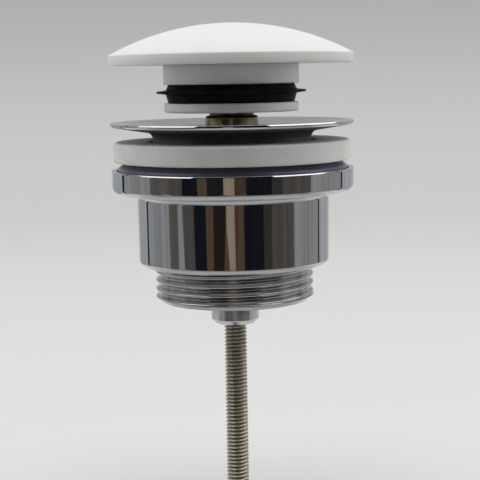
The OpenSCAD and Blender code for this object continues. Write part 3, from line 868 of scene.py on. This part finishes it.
class BASINWASTE_OT_rings(bpy.types.Operator):
    """Model the foam washer and the tapered gasket that clamp under the basin"""

    bl_idname = "basinwaste.rings"
    bl_label = "Washer and gasket"

    def execute(self, context):
        sizes = context.scene.waste_sizes
        colours = context.scene.waste_colours
        low, high, radius = node_span("basin_washer")
        flat_cuts = 8
        side_cuts = 6
        washer = turned("basin_washer_foam", [
            (sizes.ring_bore, low, SMALL_EDGE, flat_cuts),
            (radius, low, sizes.washer_round * 0.4, side_cuts),
            (radius, high, sizes.washer_round, flat_cuts),
            (sizes.ring_bore, high, SMALL_EDGE, side_cuts),
        ])
        uneven(washer, sizes.washer_swell, grain=5 * MM, direction="NORMAL")
        finish_piece(washer, foam_finish(colours), "clamp_rings", "pale_foam", "basin_washer")
        seat, top, outer = node_span("taper_gasket")
        edge = outer - sizes.gasket_play
        top_cuts = 4
        gasket = turned("taper_gasket_ring", [
            (sizes.ring_bore, seat),
            (edge, seat),
            (edge, seat + sizes.gasket_edge, sizes.gasket_round),
            (edge - sizes.gasket_taper, top, sizes.gasket_rim, top_cuts),
            (sizes.ring_bore, top),
        ])
        finish_piece(gasket, gasket_finish(colours), "clamp_rings", "dark_rubber", "taper_gasket")
        return {"FINISHED"}


class BASINWASTE_OT_lower_body(bpy.types.Operator):
    """Model the chromed lower body with its pipe thread, spider and boss"""

    bl_idname = "basinwaste.lower_body"
    bl_label = "Lower body"

    def execute(self, context):
        sizes = context.scene.waste_sizes
        boss_base, rim_top, radius = node_span("lower_body")
        seat = rim_top - sizes.body_seat
        rim_base = rim_top - sizes.body_rim
        tail_top = rim_base - sizes.cup_height
        tail_base = tail_top - sizes.tail_length
        lip_top = tail_base + sizes.tail_lip
        thread_base = lip_top + sizes.tail_lead
        thread_cuts = 110
        lip_radius = sizes.tail_radius - sizes.tail_depth
        cup_floor = tail_top + sizes.cup_floor
        bore = sizes.cup_radius - sizes.cup_wall
        lip_inner = radius - sizes.body_lip
        body = turned("lower_body_shell", [
            (sizes.tail_bore, tail_base, SMALL_EDGE),
            (lip_radius - SMALL_EDGE, tail_base, SMALL_EDGE),
            (lip_radius, lip_top),
            (sizes.tail_radius, thread_base, 0, thread_cuts),
            (sizes.tail_radius, tail_top),
            (sizes.cup_foot, tail_top, sizes.cup_round),
            (sizes.cup_radius, rim_base, sizes.cup_fillet),
            (radius, rim_base, sizes.rim_round),
            (radius, rim_top - sizes.lip_face, CRISP_EDGE),
            (radius - sizes.lip_slant, rim_top, CRISP_EDGE),
            (lip_inner, rim_top, SMALL_EDGE),
            (lip_inner, seat),
            (bore, seat, SMALL_EDGE),
            (bore, cup_floor, sizes.cup_bottom),
            (sizes.tail_bore, cup_floor, 2 * SMALL_EDGE),
        ])
        cut_thread(
            body, round_tooth, sizes.tail_radius, sizes.tail_depth, sizes.tail_pitch, sizes.tail_start,
            thread_base, tail_top, fade=0.25 * MM,
        )
        arm_top = tail_top - sizes.arm_drop
        rod_radius = node_span("clamp_rod")[2]
        rod_hole = rod_radius + sizes.rod_play
        boss = turned("boss", [
            (rod_hole, boss_base, FINE_EDGE),
            (sizes.boss_radius - sizes.boss_chamfer, boss_base, SMALL_EDGE),
            (sizes.boss_radius, boss_base + sizes.boss_chamfer, BLUNT_EDGE),
            (sizes.boss_radius, arm_top, SMALL_EDGE),
            (rod_hole, arm_top, FINE_EDGE),
        ], steps=HUB_STEPS)
        join_to(body, [boss])
        add_arms(
            body, sizes.boss_radius - ARM_BITE, sizes.tail_bore + ARM_BITE,
            arm_top - sizes.arm_height, sizes.arm_height, sizes.arm_width,
        )
        colours = context.scene.waste_colours
        finish_piece(body, chrome_finish(colours), "lower_body", "chrome", "lower_body")
        body.data.materials.append(worn_plate_finish(colours))
        body.data.materials.append(boss_finish(colours))
        for face in body.data.polygons:
            if face.center.xy.length < sizes.boss_radius:
                face.material_index = 2
            elif face.center.z < tail_top - FINE_EDGE:
                face.material_index = 1
        return {"FINISHED"}


class BASINWASTE_OT_rod(bpy.types.Operator):
    """Model the threaded clamping rod"""

    bl_idname = "basinwaste.rod"
    bl_label = "Clamping rod"

    def execute(self, context):
        sizes = context.scene.waste_sizes
        low, high, radius = node_span("clamp_rod")
        chamfer = sizes.rod_depth
        cuts_per_turn = 10
        cuts = round((high - low - 2 * chamfer) / sizes.rod_pitch * cuts_per_turn)
        rod = turned("clamp_rod_thread", [
            (0, low),
            (radius - chamfer, low),
            (radius, low + chamfer, 0, cuts),
            (radius, high - chamfer),
            (radius - chamfer, high),
            (0, high),
        ], steps=ROD_STEPS, closed=False)
        cut_thread(
            rod, vee_tooth, radius, sizes.rod_depth, sizes.rod_pitch, low,
            low + chamfer, high - chamfer, fade=0.3 * MM,
        )
        finish = rod_finish(context.scene.waste_colours, radius, sizes.rod_depth)
        finish_piece(rod, finish, "flange_assembly", "rod_steel", "clamp_rod")
        return {"FINISHED"}


def backdrop_material(colours, stage, floor):
    """Matte paper with painted shade: it greys up the backdrop and is darker on the -Y side, away from the
    object's foot.
    """
    material, bench, shader = new_material("Pale backdrop")
    height = bench.split(bench.place())["Z"]
    wall = floor + stage.sweep_radius * 0.6
    # Painted shade: the colour greys from the floor up into the wall
    up = bench.ranged(height, smooth=True, From_Min=floor, From_Max=wall)
    pale = blend_colours(bench, up, colours.floor, colours.wall)
    level = bench.level_place()
    behind = bench.split(bench.vectors("NORMALIZE", level))["Y"]
    # Painted shade on the -Y side, lightened round the foot
    side = bench.ranged(behind, smooth=True, From_Min=DARK_FULL, From_Max=DARK_NONE)
    away = bench.vectors("LENGTH", level, result="Value")
    foot = bench.ranged(
        away, smooth=True, From_Min=stage.foot_inner, From_Max=stage.foot_outer,
        To_Min=FOOT_SHARE, To_Max=0.0,
    )
    share = bench.maths("MAXIMUM", side, foot)
    bench.feed(shader, Base_Color=blend_colours(bench, share, colours.painted_shade_side, pale))
    smudge(bench, shader, scale=6, clean=0.85, dull=0.95)
    return material


def glowing_material(name):
    """A material that only glows, with its bench and shader."""
    material, bench, shader = new_material(name)
    bench.feed(shader, Base_Color=(0, 0, 0, 1), Roughness=1.0, Specular_IOR_Level=0.0)
    bench.feed(shader, Emission_Strength=1.0)
    return material, bench, shader


def panel_material(name, panels):
    """Upright panels round the axis, with wavering edges and streaks.

    Each panel starts at its angle, in degrees to the right of the camera.
    """
    material, bench, shader = glowing_material(name)
    place = bench.place()
    parts = bench.split(place)
    bearing = bench.maths("ARCTAN2", parts["X"], bench.maths("MULTIPLY", parts["Y"], -1))
    sway = bench.maths("MULTIPLY_ADD", bench.noise(place, 18.0, 2.0), PANEL_WAVER, bearing)
    middle = PANEL_WAVER / 2
    turn = bench.ranged(sway, From_Min=middle - math.pi, From_Max=middle + math.pi)
    ramp = bench.feed(bench.node("ShaderNodeValToRGB"), Fac=turn)
    ramp.color_ramp.interpolation = "CONSTANT"
    for degrees, rgb in panels:
        ramp.color_ramp.elements.new(0.5 + degrees / 360).color = (*rgb, 1)
    stretch = bench.feed(bench.node("ShaderNodeMapping"), Vector=place, Scale=(1, 1, 0.06))
    streaks = bench.noise(stretch.outputs["Vector"], 45.0, 3.0)
    gain = bench.ranged(streaks, To_Min=0.55, To_Max=1.45)
    bench.feed(shader, Emission_Color=bench.vectors("MULTIPLY", ramp.outputs["Color"], gain))
    return material


def plain_card_material(name, rgb):
    material, bench, shader = glowing_material(name)
    bench.feed(shader, Emission_Color=(*rgb, 1))
    return material


def finish_card(card, material):
    """Makes a card part of the stage that only the gloss of the pieces shows."""
    card.data.materials.append(material)
    card.visible_camera = False
    card.visible_diffuse = False
    card.visible_shadow = False


def curved_card(name, angles, top_angles, material, distance, base, height):
    """A card bent round the object, between degrees right of the camera at its foot and its top."""
    from_angle, to_angle = angles
    reset_selection()
    bpy.ops.mesh.primitive_plane_add(size=MM)
    card = bpy.context.object
    card.name = card.data.name = name
    start = math.radians(from_angle - 90)
    steps = max(2, round((to_angle - from_angle) / CARD_DEGREES))
    bpy.ops.object.mode_set(mode="EDIT")
    bpy.ops.mesh.merge(type="CENTER")
    bpy.ops.transform.translate(value=(distance * math.cos(start), distance * math.sin(start), base))
    bpy.ops.mesh.extrude_region_move(TRANSFORM_OT_translate={"value": (0, 0, height)})
    bpy.ops.mesh.select_all(action="SELECT")
    bpy.ops.mesh.spin(
        steps=steps, angle=-math.radians(to_angle - from_angle), center=(0, 0, 0), axis=(0, 0, 1),
    )
    bpy.ops.object.mode_set(mode="OBJECT")
    for vertex in card.data.vertices:
        if vertex.co.z > base + height / 2:
            bearing = math.degrees(math.atan2(vertex.co.x, -vertex.co.y))
            share = (bearing - from_angle) / (to_angle - from_angle)
            turn = math.radians(top_angles[0] + share * (top_angles[1] - top_angles[0]))
            vertex.co.x = distance * math.sin(turn)
            vertex.co.y = -distance * math.cos(turn)
    finish_card(card, material)


class BASINWASTE_OT_stage(bpy.types.Operator):
    """Set the pale sweep, the lamps, the cards that the chrome mirrors, and the camera"""

    bl_idname = "basinwaste.stage"
    bl_label = "Stage"

    def execute(self, context):
        stage = context.scene.waste_stage
        colours = context.scene.waste_colours
        floor = CAD_LOW[2]
        self.add_sweep(stage, colours, floor)
        self.add_cards(stage, floor)
        self.add_lights(context, stage, colours)
        self.add_camera(context, stage)
        context.scene.view_settings.view_transform = "Standard"
        return {"FINISHED"}

    def add_sweep(self, stage, colours, floor):
        outer = stage.floor_radius + stage.sweep_radius
        top = floor + stage.sweep_radius + stage.wall_height
        sweep = turned("floor_sweep", [
            (0, floor),
            (outer, floor, stage.sweep_radius),
            (outer, top),
        ], steps=HUB_STEPS, closed=False)
        make_active(sweep)
        bpy.ops.object.shade_smooth()
        sweep.data.materials.append(backdrop_material(colours, stage, floor))

    def add_cards(self, stage, floor):
        black = (0.010, 0.010, 0.016)
        umber = (0.020, 0.017, 0.015)
        slate = (0.090, 0.082, 0.076)
        grey = (0.34, 0.35, 0.35)
        haze = (0.31, 0.31, 0.315)
        pale = (0.43, 0.445, 0.46)
        bark = (0.080, 0.045, 0.032)
        tan = (0.105, 0.070, 0.047)
        cream = (0.32, 0.26, 0.19)
        room = [
            (-152, pale), (-121, black), (-117, grey), (-99, haze), (-80, shade(slate, 1.3)), (-59, slate),
            (-45, black), (-31, tan), (-23, umber), (-8.5, cream), (1, bark), (11, black),
            (33, shade(slate, 0.55)), (43, slate), (57, shade(slate, 1.15)), (73, haze),
            (114, black), (118, pale),
        ]
        left = (stage.window_glow,) * 3
        right = (stage.window_glow * stage.right_gain,) * 3
        windows = [(-106, left), (-44, black), (43, right)]
        room_arc = (-152, 152)
        window_arc = (-106, 124)
        tall = stage.ring_height
        cards = [
            ("room_ring", panel_material("Room panels", room), room_arc, room_arc, 0, floor, tall),
            (
                "window_ring", panel_material("Window panels", windows), window_arc, window_arc,
                0, floor + tall, stage.window_height,
            ),
        ]
        wedges = [
            ("left_wedge", tan, (-15, 2), (-8.5, -8.5), 56 * MM),
            ("right_wedge", tan, (-1, 11), (7, 11), 70 * MM),
            ("left_streak", haze, (-65.5, -55), (-65.5, -60), 66 * MM),
        ]
        for name, tint, angles, top_angles, height in wedges:
            material = plain_card_material(name + " colour", tint)
            cards.append((name, material, angles, top_angles, WEDGE_GAP, floor, height))
        for name, material, angles, top_angles, gap, base, height in cards:
            curved_card(name, angles, top_angles, material, stage.ring_radius - gap, base, height)
        level = floor + FLOOR_CARD_GAP
        glow = turned("floor_card", [
            (stage.floor_card_inner, level),
            (stage.floor_card_outer, level),
        ], steps=CARD_STEPS, closed=False)
        finish_card(glow, plain_card_material("Floor glow", (stage.floor_glow,) * 3))

    def add_lights(self, context, stage, colours):
        overhead = (0, stage.key_back, stage.key_height)
        self.add_lamp(context, "softbox", stage.key_size, stage.key_power, overhead)
        for side, name, gain in ((-1, "left", 1.0), (1, "right", stage.right_gain)):
            fill = (side * stage.side_reach, 0, stage.side_height)
            self.add_lamp(context, name + "_fill", stage.side_size, stage.side_power * gain, fill)
        world = bpy.data.worlds.new("Studio")
        world.use_nodes = True
        sky = world.node_tree.nodes["Background"]
        Shader(world.node_tree).feed(sky, Color=(*colours.sky, 1), Strength=stage.sky_strength)
        context.scene.world = world

    def add_lamp(self, context, name, size, watts, place):
        data = bpy.data.lights.new(name, "AREA")
        data.shape = "SQUARE"
        data.size = size
        data.energy = watts
        lamp = bpy.data.objects.new(name, data)
        lamp.location = place
        lamp.rotation_euler = Vector(place).to_track_quat("Z", "Y").to_euler()
        context.scene.collection.objects.link(lamp)

    def add_camera(self, context, stage):
        data = bpy.data.cameras.new("camera")
        data.lens = stage.lens
        data.clip_start = 10 * MM
        camera = bpy.data.objects.new("camera", data)
        camera.location = (0, -stage.distance, stage.eye_height)
        aim = Euler((math.pi / 2 - stage.pitch, 0, -stage.turn)).to_matrix()
        lean = Matrix.Rotation(-stage.roll, 3, "Z")
        camera.rotation_euler = (aim @ lean).to_euler()
        context.scene.collection.objects.link(camera)
        context.scene.camera = camera


PIECE_OPERATORS = (
    BASINWASTE_OT_cap,
    BASINWASTE_OT_plug,
    BASINWASTE_OT_flange,
    BASINWASTE_OT_cartridge,
    BASINWASTE_OT_rings,
    BASINWASTE_OT_lower_body,
    BASINWASTE_OT_rod,
    BASINWASTE_OT_stage,
)


class BASINWASTE_PT_panel(bpy.types.Panel):
    """Lists the steps that dress the basin waste"""

    bl_idname = "BASINWASTE_PT_panel"
    bl_label = "Basin waste"
    bl_space_type = "VIEW_3D"
    bl_region_type = "UI"
    bl_category = "Basin waste"

    def draw(self, context):
        for operator in PIECE_OPERATORS:
            self.layout.operator(operator.bl_idname)


PROPERTY_GROUPS = (WasteSizes, WasteColours, WasteStage)


def register():
    for group in PROPERTY_GROUPS:
        bpy.utils.register_class(group)
    bpy.types.Scene.waste_sizes = PointerProperty(type=WasteSizes)
    bpy.types.Scene.waste_colours = PointerProperty(type=WasteColours)
    bpy.types.Scene.waste_stage = PointerProperty(type=WasteStage)
    for operator in PIECE_OPERATORS:
        bpy.utils.register_class(operator)
    bpy.utils.register_class(BASINWASTE_PT_panel)


def unregister():
    bpy.utils.unregister_class(BASINWASTE_PT_panel)
    for operator in reversed(PIECE_OPERATORS):
        bpy.utils.unregister_class(operator)
    del bpy.types.Scene.waste_stage
    del bpy.types.Scene.waste_colours
    del bpy.types.Scene.waste_sizes
    for group in reversed(PROPERTY_GROUPS):
        bpy.utils.unregister_class(group)


def main():
    register()
    bpy.ops.basinwaste.cap()
    bpy.ops.basinwaste.plug()
    bpy.ops.basinwaste.flange()
    bpy.ops.basinwaste.cartridge()
    bpy.ops.basinwaste.rings()
    bpy.ops.basinwaste.lower_body()
    bpy.ops.basinwaste.rod()
    bpy.ops.basinwaste.stage()


if __name__ == "__main__":
    main()
